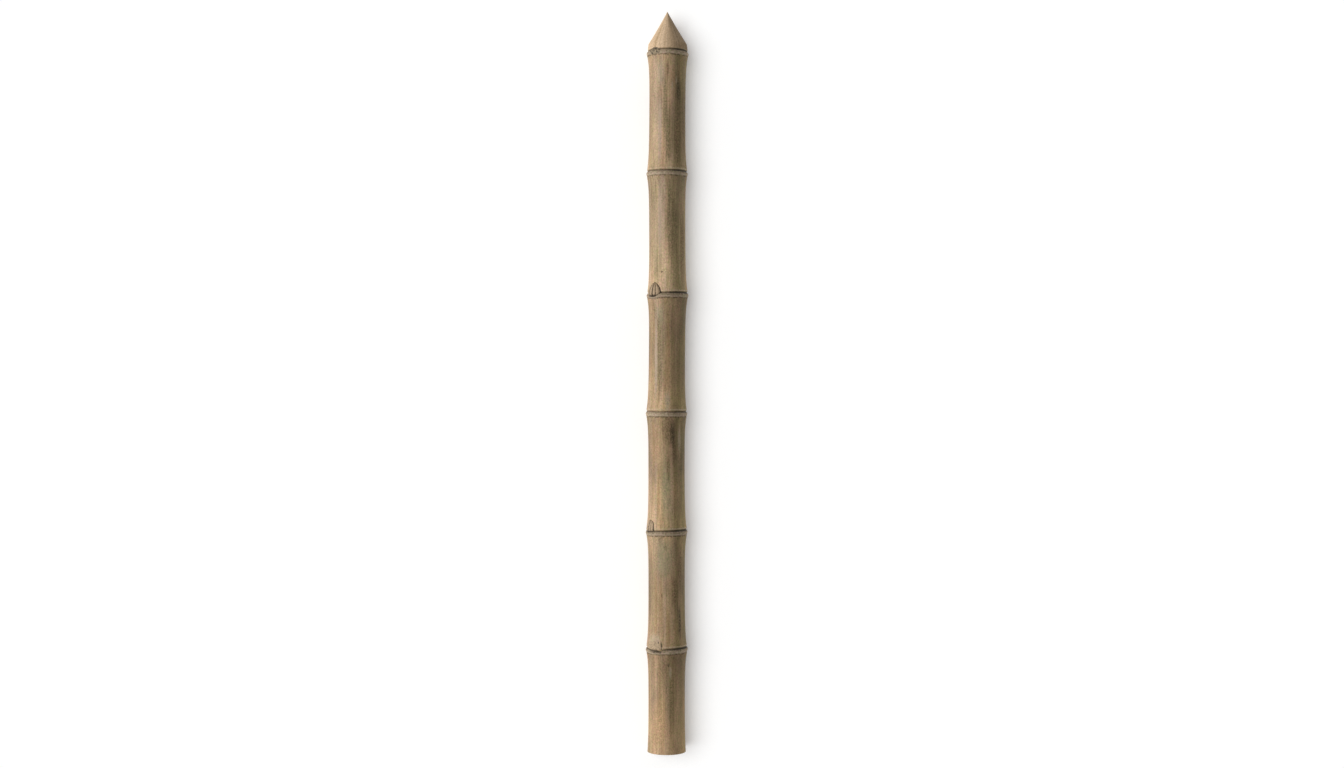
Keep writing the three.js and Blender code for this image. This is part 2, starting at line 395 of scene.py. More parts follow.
grooves = np.array([NODE_BELOW_THE_CUT, *(each["at"] for each in NODES), NODE_ABOVE_THE_TIP])
along = points_of(culm)[:, 1] + LENGTH / 2
nearest = np.abs(along[:, None] - grooves[None, :]).argmin(1)
above_groove = along - grooves[nearest]
internode = np.clip(np.searchsorted(grooves, along, side="right") - 1, 0, len(grooves) - 2)
darkness = np.array([END_DARKNESS, *(each["dark"] for each in NODES), END_DARKNESS])
up = (along - grooves[internode]) / np.diff(grooves)[internode]
skin_numbers = {
    "above_groove": above_groove,
    "near_ring": np.clip((RING_REACH - np.abs(above_groove)) / RING_FADE, 0, 1),
    "internode": internode,
    "groove_dark": darkness[nearest],
    "tone": [np.interp(u, TONE_PLACES, INTERNODES[i]["tones"]) for u, i in zip(up, internode)],
    "warm": [INTERNODES[i]["warm"] for i in internode],
}
for name, values in skin_numbers.items():
    write_number(culm, name, values)
print("points lie in internodes", sorted(set(internode.tolist())))

# %% [markdown]
# ## Leaning rings and dipped grooves
# No ring sits quite square on a real stem, and each groove dips to pass under its bud. By hand this
# is done with proportional editing: a few points are moved and their neighbours follow less and
# less with distance.

# %% Lean the rings
LEAN_REACH = 0.022
SAME_ROW = 0.0003


def neighbours_within(reach):
    """The settings of proportional editing."""
    return dict(
        use_proportional_edit=True, proportional_edit_falloff="SMOOTH", proportional_size=reach
    )


for each in NODES:
    pivot = centre_line(each["at"])
    select_points(culm, np.abs(points_of(culm)[:, 1] - pivot.y) < SAME_ROW)
    bpy.ops.transform.rotate(
        value=-each["tilt"] / each["crest"],
        orient_axis="Z",
        center_override=pivot,
        **neighbours_within(LEAN_REACH),
    )
switch_to("OBJECT")
print("leaned", len(NODES), "rings")

# %% Dip the grooves under the buds
SAME_POINT = 0.0002

# Of each dip: its node, the angle round the cane that it faces, how deep it is and how far it reaches.
DIPS = [
    dict(node=0, facing=-21, depth=0.0034, reach=0.009),
    dict(node=0, facing=-38, depth=0.0016, reach=0.015),
    dict(node=1, facing=-60, depth=0.0008, reach=0.02),
    dict(node=2, facing=138, depth=0.0015, reach=0.02),
    dict(node=3, facing=-44, depth=0.0046, reach=0.016),
    dict(node=4, facing=142, depth=0.0015, reach=0.02),
]


def on_cane(facing, radius, s):
    """A point on the cane: 0 degrees is its top as it lies, and +90 is its +X side."""
    turn = math.radians(facing)
    return centre_line(s) + Vector((radius * math.sin(turn), 0, radius * math.cos(turn)))


for each in DIPS:
    groove = NODES[each["node"]]["at"]
    target = np.array(on_cane(each["facing"], outer_radius(groove), groove))
    distance = np.linalg.norm(points_of(culm) - target, axis=1)
    select_points(culm, distance < distance.min() + SAME_POINT)
    bpy.ops.transform.translate(value=(0, -each["depth"], 0), **neighbours_within(each["reach"]))
switch_to("OBJECT")
print("dipped", len(DIPS), "places")

# %% Smooth the culm and cut its two resting flats
ON_THE_CUT = 1e-6  # only points this close to the cut are pulled onto it

apply_modifier(culm, "SUBSURF", levels=1, render_levels=1)
edit_all_points(culm)
bpy.ops.mesh.bisect(
    plane_co=(0, 0, 0), plane_no=(0, 0, 1), use_fill=True, clear_inner=True, threshold=ON_THE_CUT
)
switch_to("OBJECT")
print("the smoothed culm has", len(culm.data.polygons), "faces and lies at", points_of(culm)[:, 2].min())

# %% [markdown]
# ## Buds
# A bamboo bud is a low, rounded thing of several scales that lie close together and lean in to one
# tip. It starts as a grid that gets its thickness by one extrusion. Then each of its points is moved
# to its place: the sides are drawn in to the bud's outline, the scales become ribs that run together
# at the tip, and the whole is laid on the cane's own radius, because the cane flares at the node and
# a plain bend would leave gaps.

# %% The buds
# Of each bud: its node, the angle it faces, its size, how far it stands out, its number of scales,
# over what share of its height its foot is rounded, how pointed its tip is (1 is a point, 0.5 an
# arch), how far its foot reaches below the groove, how far its tip leans to one side, and how much
# wider its dark bed of painted shadow is.
PLAIN_BUD = dict(
    width=0.021, height=0.018, rise=0.0016, scales=4, rounding=0.3, pointed=0.75,
    foot=0.0006, lean=0.0, bed=0.0014,
)


def bud(node, facing, **own):
    """A plain bud with some values of its own."""
    return {"node": node, "facing": facing, **PLAIN_BUD, **own}


BUDS = [
    bud(node=0, facing=-41, width=0.03, height=0.015, rise=0.0004, scales=5, rounding=0.1),
    bud(node=1, facing=-59, width=0.022, rise=0.0019, rounding=0.12, pointed=0.5, lean=0.002, bed=0.0007),
    bud(node=2, facing=138),
    bud(node=3, facing=-44, width=0.027, height=0.0215, rise=0.0038, pointed=1.0, lean=0.002),
    bud(node=4, facing=142),
    bud(node=5, facing=-40, width=0.023, height=0.0105, rise=0.0004, scales=5, rounding=0.4, foot=0.0075),
]
BUD_ROOT = 0.0022  # how far a bud reaches into the cane
print("the cane carries", len(BUDS), "buds and bud scars")

# %% Outline and ribs
BUD_CELLS = (60, 30)
FOOT_SHARE, FOOT_ROUND = 0.3, 0.7
TIP_SHARE = 0.05
RIB_SHARE = 0.42
RIB_BEND = 0.5
RIB_SHARPNESS = 2.2


def bud_outline(up, rounding, pointed):
    """Half the bud's width as a share, from its rounded foot at 0 to its tip at 1."""
    cut = 1 - min(up / rounding, 1)
    return (1 - up**3) ** pointed * (FOOT_SHARE + FOOT_ROUND * math.sqrt(1 - cut**2)) + TIP_SHARE


def rib_valley(across, up, scales):
    """1 in the crack between two scales and 0 in the middle of a scale."""
    bent = across + RIB_BEND * (1 - up) * up * across * (1 - across**2)
    turn = (bent + 1) / 2 * scales
    return (2 * abs(turn - math.floor(turn) - 0.5)) ** RIB_SHARPNESS


half_way = bud_outline(0.5, BUDS[3]["rounding"], BUDS[3]["pointed"])
print("half way up, the plump bud has", round(half_way, 2), "of its width")

# %% How dark the painted shade in the cracks of a bud is
CRACK_SPREAD = 0.75
SIDE_CRACKS = 0.75
RIM_AT_FOOT = 12
RIM_NEAR_TIP = 0.9
RIM_AT_TIP = 10
RIM_SHARPNESS = 6
WORN_SIDE, WORN_FADE, WORN_EDGE = 0.45, 3, 3


def bud_crack_shade(across, up, valley):
    """Painted shade: 1 between two scales and round the bud's edge, where shade falls, 0 in the middle of
    a scale.
    """
    rim = max(abs(across), 1 - up * RIM_AT_FOOT, (up - RIM_NEAR_TIP) * RIM_AT_TIP) ** RIM_SHARPNESS
    return max(valley**CRACK_SPREAD * (1 - SIDE_CRACKS * abs(across)), rim)


def worn_scar_shade(across, up, valley):
    """Painted shade on a worn scar, in its cracks and at its edge, only low down on its right side, away
    from the light.
    """
    right_side = min(1, max(0, across - WORN_SIDE) * WORN_FADE)
    return max(valley, abs(across) ** WORN_EDGE) * right_side * (1 - up)


print("at its edge the plump bud is", bud_crack_shade(across=1, up=0.5, valley=0), "dark, from 0 to 1")

# %% Where a groove runs
def groove_shift(node, facing):
    """How far a node's groove moves along the cane at an angle: the ring's lean and its dips."""
    shift = NODES[node]["tilt"] * math.sin(math.radians(facing))
    for each in DIPS:
        if each["node"] == node:
            away = math.radians(abs(facing - each["facing"])) * NODES[node]["crest"]
            near = max(0, 1 - away / each["reach"])
            shift -= each["depth"] * near * near * (3 - 2 * near)
    return shift


print("under the plump bud the groove moves", in_mm(groove_shift(3, BUDS[3]["facing"])), "mm")

# %% Shape one bud on the cane
FOOT_SAG = 0.06
DOME_FOOT, DOME_SWELL, DOME_FALL = 0.9, 0.6, 1.3
DOME_EDGE, DOME_TOP = 0.18, 0.82
WORN_RISE = 0.001


def bud_dome(across, up):
    """How full the bud is: fullest a little below its middle, and thin at its edges and its tip."""
    return (1 - across**4) * (DOME_FOOT + DOME_SWELL * up - DOME_FALL * up**3)


def shape_bud(name, parent, grow, rise):
    """A bud with ribs, a rounded foot and a sunken root. grow widens it, for the bed of painted shadow.
    """
    cells_across, cells_up = BUD_CELLS
    bpy.ops.mesh.primitive_grid_add(x_subdivisions=cells_across, y_subdivisions=cells_up, size=2)
    made = bpy.context.object
    made.name = made.data.name = name
    switch_to("EDIT")
    bpy.ops.mesh.extrude_region_move(TRANSFORM_OT_translate={"value": (0, 0, 1)})
    switch_to("OBJECT")

    groove = NODES[parent["node"]]["at"]
    shift = groove_shift(parent["node"], parent["facing"])
    foot = groove + shift - parent["foot"] - grow / 2
    height, width = parent["height"] + grow, parent["width"] + grow
    crack_shade_at = bud_crack_shade if parent["rise"] > WORN_RISE else worn_scar_shade
    moved, cracks = [], []
    for across, up, layer in points_of(made):
        up, on_top = (up + 1) / 2, layer > 0.5
        outline = bud_outline(up, parent["rounding"], parent["pointed"])
        side = across * outline * width / 2 + parent["lean"] * up**2
        s = foot + up * height - (1 - across**2) * (1 - up) * height * FOOT_SAG
        surface = max(outer_radius(s - shift * bump(s - groove - shift, LEAN_REACH)), waist_radius(s))
        valley = rib_valley(across, up, parent["scales"])
        thickness = rise * (DOME_EDGE + DOME_TOP * bud_dome(across, up)) * (1 - RIB_SHARE * valley)
        out = surface + thickness if on_top else waist_radius(s) - BUD_ROOT
        moved.append(on_cane(parent["facing"] + math.degrees(side / surface), out, s))
        # How much painted shade each point of a bud's top gets.
        cracks.append(crack_shade_at(across, up, valley) if on_top else 1.0)
    write_number(made, "crack", cracks)
    write_number(made, "up_bud", (points_of(made)[:, 1] + 1) / 2)
    made.data.vertices.foreach_set("co", np.ravel(moved))
    edit_all_points(made)
    bpy.ops.mesh.normals_make_consistent(inside=False)
    switch_to("OBJECT")
    return made


print("a bud's thickness at its foot is", round(bud_dome(0, 0), 2), "of its full rise")

# %% Build every bud on its dark bed of painted shadow
SCARS = (0, 5)  # these two have no bed
BED_RISE = 0.00025

bud_parts = []
for index, each in enumerate(BUDS):
    bud_parts.append(shape_bud(f"bud_{index}_whole", each, grow=0, rise=each["rise"]))
    # Every bud but the two scars lies on a dark bed of painted shadow.
    if index not in SCARS:
        bud_parts.append(shape_bud(f"bud_{index}_bed", each, grow=each["bed"], rise=BED_RISE))
print("made", len(bud_parts), "parts of buds")

# %% [markdown]
# ## Finishes
# A finish is a small net of shader nodes. To keep its sums readable, one class wraps a socket and
# lets Python's own signs add the nodes: `1 - mask` becomes a Math node. All patterns are read from
# Object coordinates, so they sit still on the cane from every side.

# %% A socket that can be added and multiplied
class Wire:
    """A number, a vector or a colour on its way through a material's nodes."""

    def __init__(self, tree, socket=None):
        self.tree = tree
        self.socket = socket

    def node(self, kind, settings=None, inputs=None, output=0):
        """Adds any node: its settings first, then the values or links of its sockets."""
        added = self.tree.nodes.new(kind)
        for name, value in (settings or {}).items():
            setattr(added, name, value)
        for name, value in (inputs or {}).items():
            if isinstance(value, Wire):
                self.tree.links.new(value.socket, added.inputs[name])
            else:
                added.inputs[name].default_value = value
        return Wire(self.tree, added.outputs[output]) if added.outputs else None

    def math(self, operation, *values):
        return self.node("ShaderNodeMath", {"operation": operation}, dict(enumerate(values)))

    def vector(self, operation, *values, output="Vector"):
        kind = "ShaderNodeVectorMath"
        return self.node(kind, {"operation": operation}, dict(enumerate(values)), output)

    def __add__(self, other):
        return self.math("ADD", self, other)

    __radd__ = __add__

    def __sub__(self, other):
        return self.math("SUBTRACT", self, other)

    def __rsub__(self, other):
        return self.math("SUBTRACT", other, self)

    def __mul__(self, other):
        return self.math("MULTIPLY", self, other)

    __rmul__ = __mul__


print("wires can be added, subtracted and multiplied")

# %% Shapes and colours made from wires
def between(value, low, high):
    """0 below low, 1 above high and a smooth rise from one to the other."""
    return value.node(
        "ShaderNodeMapRange",
        {"interpolation_type": "SMOOTHSTEP"},
        {"Value": value, "From Min": low, "From Max": high},
    )


def hump(value, middle, width):
    """1 at the middle, falling smoothly to 0 one width away on both sides."""
    away = value.math("ABSOLUTE", value - middle)
    return 1 - between(away, 0, width)


def blend(share, first, second, mode="MIX"):
    """A colour between two colours."""
    wire = next(w for w in (share, first, second) if isinstance(w, Wire))
    return wire.node(
        "ShaderNodeMix",
        {"data_type": "RGBA", "blend_type": mode},
        {0: share, 6: first, 7: second},
        output=2,
    )


def stretched(here, width, length, apart=0.0):
    """The place on the cane counted in widths round it and lengths along it."""
    counted = here.vector("MULTIPLY", here, (1 / width, 1 / length, 1 / width))
    return here.vector("ADD", counted, (apart, apart, -apart))


def streaks(here, width, length, apart=0.0, detail=2.0):
    """Soft streaks along the cane, about so wide and so long, between 0 and 1."""
    inputs = {"Vector": stretched(here, width, length, apart), "Scale": 1.0, "Detail": detail}
    return here.node("ShaderNodeTexNoise", None, inputs)


def spots(place, randomness):
    """The distance to the nearest of many scattered spots, about one apart."""
    inputs = {"Vector": place, "Scale": 1.0, "Randomness": randomness}
    return place.node("ShaderNodeTexVoronoi", None, inputs, output="Distance")


print("patterns are counted in metres on the cane")

# %% Start and end of every finish
SPECULAR = 0.3


def new_finish(name):
    """A new material and the place on the cane, as a wire."""
    material = bpy.data.materials.new(name)
    material.use_nodes = True
    tree = material.node_tree
    tree.nodes.clear()
    here = Wire(tree).node("ShaderNodeTexCoord", output="Object")
    return material, here


def close_finish(material, colour, roughness, height, depth):
    """Joins colour, roughness and relief to the shader. depth is the relief's height in metres."""
    relief = colour.node("ShaderNodeBump", None, {"Height": height, "Distance": depth})
    shader = colour.node(
        "ShaderNodeBsdfPrincipled",
        None,
        {"Base Color": colour, "Roughness": roughness, "Specular IOR Level": SPECULAR, "Normal": relief},
    )
    shader.node("ShaderNodeOutputMaterial", None, {"Surface": shader})
    return material


def painted(here, name):
    """A number that the points of the mesh carry."""
    return here.node("ShaderNodeAttribute", {"attribute_name": name}, output="Fac")


def tint(red, green, blue):
    """A linear colour."""
    return (red, green, blue, 1.0)


print("every finish ends in one Principled shader")

# %% [markdown]
# ## Stains and scars
# The skin carries marks that anyone would know this cane by: dark stains, narrow dark streaks, pale
# scrapes and small spots. Among the spots, three dark crescents under the feet of buds are painted
# shadow. Each is a few numbers in a table. In the material it becomes a stretched ball round its
# place, and noise frays its edge. The marks could be painted by hand, but numbers are easier to
# change. Stains and spots also run over the rings.

# %% The marks
def kind_of_mark(colour, strength, *marks):
    """One kind: its colour, how strongly it covers, and its marks. Each has its place from the saw
    cut, the angle that it faces, its width and its length, in millimetres and degrees."""
    marks = [(at / 1000, facing, width / 1000, length / 1000) for at, facing, width, length in marks]
    return {"colour": colour, "strength": strength, "marks": marks}


MARKS = {
    "green": kind_of_mark(
        tint(0.335, 0.29, 0.17), 0.7,
        (706, -22, 12, 50), (425, 1, 24, 130), (315, -5, 40, 85),
    ),
    "rust": kind_of_mark(
        tint(0.37, 0.228, 0.105), 0.5,
        (1085, 17, 12, 66), (640, -60, 10, 180), (640, 4, 10, 180), (500, -40, 26, 100),
        (430, -25, 7, 100), (240, -30, 28, 130), (205, 3, 12, 100), (45, -25, 44, 120),
    ),
    "mauve": kind_of_mark(
        tint(0.455, 0.34, 0.25), 0.85,
        (1000, -24, 10, 150), (862, -25, 10, 180), (634, -36, 9, 180),
    ),
    "olive": kind_of_mark(
        tint(0.16, 0.128, 0.056), 0.58,
        (990, 3, 11, 120), (1045, -7, 9, 160), (850, 14, 28, 150), (900, 9, 11, 80),
        (640, -23, 14, 200), (333, -3, 6, 10), (98, 12, 22, 120),
    ),
    "brown": kind_of_mark(
        tint(0.15, 0.096, 0.042), 0.65,
        (1102, 0, 5.5, 50), (1050, 36, 20, 150), (995, 36, 22, 150), (1020, 62, 20, 170),
        (820, 56, 18, 150), (522, 6, 32, 70), (495, 24, 10, 70), (460, 5, 8, 60), (255, -15, 4, 14),
        (262, 26, 18, 80), (300, 47, 14, 110),
    ),
    "stain": kind_of_mark(
        tint(0.075, 0.056, 0.024), 0.8,
        (1068, 37, 13, 60), (514, 18, 10, 55), (209, 45, 9, 78),
    ),
    "pale": kind_of_mark(
        tint(0.43, 0.345, 0.24), 0.65,
        (1096, -23, 16, 56), (1076, 15, 5, 26), (1084, 29, 4, 20), (712.5, -31, 5, 30),
        (568, 2, 13, 40), (505, 44, 10, 60), (182, -40, 36, 30), (132, 11, 8, 24),
    ),
    # Of the spots, the three wide, short ones at 737.6, 358.5 and 165.4 mm are painted shadow under the
    # feet of two buds and of the scar at the lowest node.
    "spots_and_bud_shadows": kind_of_mark(
        tint(0.05, 0.038, 0.02), 0.9,
        (776, -17, 4, 4), (737.6, -49, 24, 6.2), (358.5, -60, 22, 5), (144, 6, 4.5, 7),
        (165.4, -34, 22, 6), (165, -19, 8, 7), (176.5, -15, 4.2, 18), (179, -25, 2.8, 9),
    ),
}
OVER_THE_RINGS = ("stain", "spots_and_bud_shadows")
UNDER_THE_RINGS = [kind for kind in MARKS if kind not in OVER_THE_RINGS]
MARK_FRAY = 1.7
MARK_EDGE = (0.35, 1.0)
GRAINY = (0.38, 0.58)


def marked(here, kind, fray):
    """How strongly the marks of one kind cover the skin here, from 0 to 1."""
    cover = None
    for at, facing, width, length in MARKS[kind]["marks"]:
        away = here.vector("SUBTRACT", here, on_cane(facing, outer_radius(at), at))
        away = here.vector("MULTIPLY", away, (2 / width, 2 / length, 2 / width))
        distance = here.vector("LENGTH", away, output="Value")
        one = 1 - between(distance + (fray - 0.5) * MARK_FRAY, *MARK_EDGE)
        cover = one if cover is None else cover.math("MAXIMUM", cover, one)
    return cover


def paint_marks(colour, here, kinds, threads, grain):
    """Paints the marks of some kinds. Threads fray their edges and grain makes them patchy."""
    for kind in kinds:
        cover = marked(here, kind, threads * 0.65 + grain * 0.35)
        cover = cover * (0.60 + between(grain, *GRAINY) * 0.50)
        colour = blend(cover * MARKS[kind]["strength"], colour, MARKS[kind]["colour"])
    return colour


print("the skin carries", sum(len(kind["marks"]) for kind in MARKS.values()), "marks")

# %% [markdown]
# ## The weathered skin
# Old bamboo is matt and straw coloured, with pinkish and olive streaks that run along the fibres.
# Each internode grows lighter or darker along its length in its own way. The ring has a pale lip over
# a dark groove, a greyish band with a thin light line, and a dark crease. The lip carries a painted
# highlight and the groove painted shade, and both flanks carry painted shade, the right one most.
# All of this is mixed from noise stretched along the cane and from the six numbers that the points carry.

# %% Skin colours
PINKISH_TAN = tint(0.45, 0.314, 0.196)
ORANGE_TAN = tint(0.424, 0.289, 0.164)
OLIVE_TAN = tint(0.335, 0.248, 0.134)
MAUVE = tint(0.42, 0.306, 0.222)
REDDER = tint(1.11, 0.97, 1.04)
GREENER = tint(0.9, 1.02, 0.82)
LIGHTER = tint(1.36, 1.36, 1.4)
DARKER = tint(0.45, 0.44, 0.42)
WARMING = tint(1.06, 0.99, 0.9)
# Painted shade for the two flanks: the right one darker and greener than the left.
RIGHT_FLANK_SHADE = tint(0.72, 0.755, 0.64)
LEFT_FLANK_SHADE = tint(0.87, 0.87, 0.88)
NARROW_DARK = tint(0.2, 0.134, 0.068)
NARROW_PALE = tint(0.51, 0.376, 0.25)
MOULD = tint(0.09, 0.072, 0.04)

# The lip's cream is partly its own colour and partly a painted highlight.
LIP_CREAM_AND_HIGHLIGHT = tint(0.52, 0.41, 0.27)
# The groove's dark brown is partly its own colour and partly painted shade in its recess.
GROOVE_BROWN_AND_SHADE = tint(0.05, 0.038, 0.021)
BAND_GREY = tint(0.325, 0.248, 0.165)
BAND_DARK = tint(0.15, 0.112, 0.068)
BAND_LINE = tint(0.48, 0.38, 0.275)
CREASE_OLIVE = tint(0.115, 0.08, 0.036)
print("skin colours are set")

# %% Turn a colour by noise
HIGH_NOISE = (0.50, 0.68)
LOW_NOISE = (0.32, 0.50)


def vary(colour, noise, strength, where_high, where_low, mode="MIX"):
    """Turns a colour one way where the noise is high and another way where it is low."""
    colour = blend(between(noise, *HIGH_NOISE) * strength, colour, where_high, mode)
    return blend((1 - between(noise, *LOW_NOISE)) * strength, colour, where_low, mode)


print("noise over", HIGH_NOISE[0], "counts as high")

# %% The ring's colours, with painted highlight and shade
# All places are in metres above the groove. A line has its middle and how far it fades to each side,
# and an edge has the two ends of its rise.
RING_WOBBLE = 0.0016
LIP = (0.0028, 0.0020)
BAND_TOP_EDGE = (-0.0016, -0.0004)
BAND_FOOT_EDGE = (-0.0088, -0.0080)
LIGHT_LINE = (-0.0060, 0.0015)
CREASE = (-0.0088, 0.0015)
GROOVE_MIDDLE = -0.0004
GROOVE_HALF_WIDTH = 0.0025
STAINED_NODES = (0.70, 0.90)
LIP_HIGHLIGHT_CAP = 0.5


def ring_colours(colour, above, near, dark, right, grain, streak, speckle):
    """Paints lip, band, light line, crease and groove by the distance above the groove. The lip's
    cream is partly a painted highlight, stronger towards the right side, and the groove's dark brown
    is partly painted shade, darker on the right side. right is 0 on the cane's left side and 1 on its
    right side."""
    above = above + (grain - 0.5) * RING_WOBBLE
    # Painted highlight: the lip is brightened more towards the shaded right side.
    lip_highlight = right.math("MINIMUM", right, LIP_HIGHLIGHT_CAP)
    lip = hump(above, *LIP) * near
    colour = blend(lip * (0.15 + streak * 0.55 + lip_highlight * 0.75), colour, LIP_CREAM_AND_HIGHLIGHT)
    band = between(above, *BAND_FOOT_EDGE) * (1 - between(above, *BAND_TOP_EDGE)) * near
    colour = blend(band * (1.2 - grain * 0.7), colour, BAND_GREY)
    colour = vary(colour, speckle, band * 0.55, BAND_LINE, BAND_DARK)
    stained = between(dark, *STAINED_NODES) * (1 - right)
    colour = blend(band * stained * 0.4, colour, BAND_DARK)
    line = hump(above, *LIGHT_LINE) * near
    colour = blend(line * (0.1 + streak * 0.9), colour, BAND_LINE)
    crease = hump(above, *CREASE) * near * between(grain + streak, 0.75, 1.1)
    colour = blend(crease * 0.95, colour, CREASE_OLIVE)
    # Painted shade: the groove is darker towards the right side, away from the light.
    dark = dark * (0.75 + right * 0.4)
    groove = hump(above, GROOVE_MIDDLE, GROOVE_HALF_WIDTH * (0.45 + dark * 0.6)) * near
    cover = groove.math("MINIMUM", groove * 1.9, 0.97)
    cover = cover * between(dark + (speckle - 0.5) * 0.7, 0.0, 0.95)
    return blend(cover, colour, GROOVE_BROWN_AND_SHADE)


print("a groove's dark line is up to", in_mm(2 * GROOVE_HALF_WIDTH), "mm wide")

# %% Small specks
SPECK_CELL = (0.0045, 0.0075)
SPECK_EDGE = (0.06, 0.17)
CROWDED = (0.50, 0.66)


def mould_specks(here):
    """Small dark dots, dense in some places and absent in others."""
    dots = 1 - between(spots(stretched(here, *SPECK_CELL), randomness=1.0), *SPECK_EDGE)
    crowd = streaks(here, width=0.012, length=0.05, apart=31)
    return dots * between(crowd, *CROWDED)


print("specks are up to", in_mm(2 * SPECK_CELL[0] * SPECK_EDGE[1]), "mm across")

# %% The skin's material
# Pairs are the two ends of a rise across the cane, in metres from its middle to the right.
INTERNODES_APART = 4.7
FLANK_WOBBLE = 0.02
RIGHT_FALL = (0.001, 0.026)
LEFT_FALL = (-0.0285, -0.0150)
CALM_FROM = (-0.006, 0.010)
CALM_SHARE = 0.6
RIGHT_SIDE = (-0.010, 0.026)


def paint_flank_shade(colour, across, wobble):
    """Painted shade: both flanks are a little darker than the top, and the right one, turned away from
    the light, more so.
    """
    across = across + (wobble - 0.5) * FLANK_WOBBLE
    colour = blend(between(across, *RIGHT_FALL), colour, RIGHT_FLANK_SHADE, mode="MULTIPLY")
    return blend(1 - between(across, *LEFT_FALL), colour, LEFT_FLANK_SHADE, mode="MULTIPLY")


def weathered_skin():
    """The skin: streaks and tones first, then marks, rings, more marks and the finest grain."""
    material, here = new_finish("weathered_skin")
    above, near, internode, dark, tone, warm = (painted(here, name) for name in skin_numbers)
    step = here.node("ShaderNodeCombineXYZ", None, {"Y": internode * INTERNODES_APART})
    own = here.vector("ADD", here, step)
    across = here.node("ShaderNodeSeparateXYZ", None, {0: here}, output="X")
    right = between(across, *RIGHT_SIDE)
    calmer = 1 - between(across, *CALM_FROM) * CALM_SHARE
    broad = streaks(own, width=0.013, length=0.45, apart=3)
    wide = streaks(own, width=0.0075, length=0.3, apart=51, detail=1)
    narrow = streaks(own, width=0.0052, length=0.28, apart=7, detail=1)
    threads = streaks(own, width=0.0021, length=0.11, apart=13)
    fibres = streaks(own, width=0.0006, length=0.04, apart=11, detail=3)
    cloudy = streaks(own, width=0.02, length=0.06, apart=17, detail=3)
    patchy = streaks(own, width=0.016, length=0.045, apart=61)
    mottle = streaks(own, width=0.005, length=0.012, apart=29, detail=3)
    grain = streaks(here, width=0.0019, length=0.0027, apart=23, detail=4)
    tinge = streaks(here, width=0.0026, length=0.0032, apart=41, detail=2)
    speckle = streaks(here, width=0.0036, length=0.0026, apart=37, detail=3)

    colour = blend(between(broad, 0.36, 0.64), PINKISH_TAN, OLIVE_TAN)
    colour = vary(colour, wide, calmer * 0.62, MAUVE, ORANGE_TAN)
    colour = vary(colour, narrow, calmer * 0.36, NARROW_PALE, NARROW_DARK)
    colour = vary(colour, threads, calmer * 0.32, NARROW_PALE, NARROW_DARK)
    colour = blend(1.0, colour, tone * (0.48 + cloudy), mode="MULTIPLY")
    colour = vary(colour, patchy, 0.30, REDDER, GREENER, mode="MULTIPLY")
    colour = blend(warm, colour, WARMING, mode="MULTIPLY")
    # Painted shade on both flanks, more on the right.
    colour = paint_flank_shade(colour, across, broad)
    colour = paint_marks(colour, here, UNDER_THE_RINGS, threads, grain)
    colour = vary(colour, mottle, 0.12, LIGHTER, DARKER, mode="MULTIPLY")
    specks = mould_specks(here)
    colour = blend(specks * 0.6, colour, MOULD)
    colour = ring_colours(colour, above, near, dark, right, grain, narrow, speckle)
    colour = paint_marks(colour, here, OVER_THE_RINGS, threads, grain)
    colour = vary(colour, tinge, 0.8, REDDER, GREENER, mode="MULTIPLY")
    colour = vary(colour, grain, 0.45, DARKER, LIGHTER, mode="MULTIPLY")
    colour = vary(colour, fibres, 0.25, DARKER, LIGHTER, mode="MULTIPLY")

    roughness = 0.58 + cloudy * 0.25
    height = fibres * 0.5 + threads * 0.5 + grain * 0.35 - specks * 0.3
    return close_finish(material, colour, roughness, height, depth=0.00022)


SKIN = weathered_skin()
print("the skin's net has", len(SKIN.node_tree.nodes), "nodes")

# %% [markdown]
# ## Cut wood
# Three places show the wood under the skin. The cone was pared to a point along the fibres, so it is
# pale with long fine lines. The saw cut shows the end grain: dots of the fibre bundles, crowded near
# the skin. The hollow keeps its thin papery lining.

# %% The way out from the cane's middle
ACROSS_ONLY = (1, 0, 1)


def way_out(here, s):
    """The way from the cane's centre line at s to here, as it looks along the cane."""
    centre = centre_line(s)
    return here.vector("SUBTRACT", here.vector("MULTIPLY", here, ACROSS_ONLY), (centre.x, 0, centre.z))


print("the saw cut's centre is", in_mm(centre_line(0).z), "mm over the floor")

# %% The pared cone
CONE_PALE = tint(0.66, 0.48, 0.31)
CONE_TAN = tint(0.52, 0.36, 0.21)
CONE_FIBRE = tint(0.29, 0.196, 0.098)
# Painted shade for the cone's right side.
CONE_PAINTED_SHADE = tint(0.4, 0.37, 0.29)
CONE_SHADE = (-0.05, 0.92)


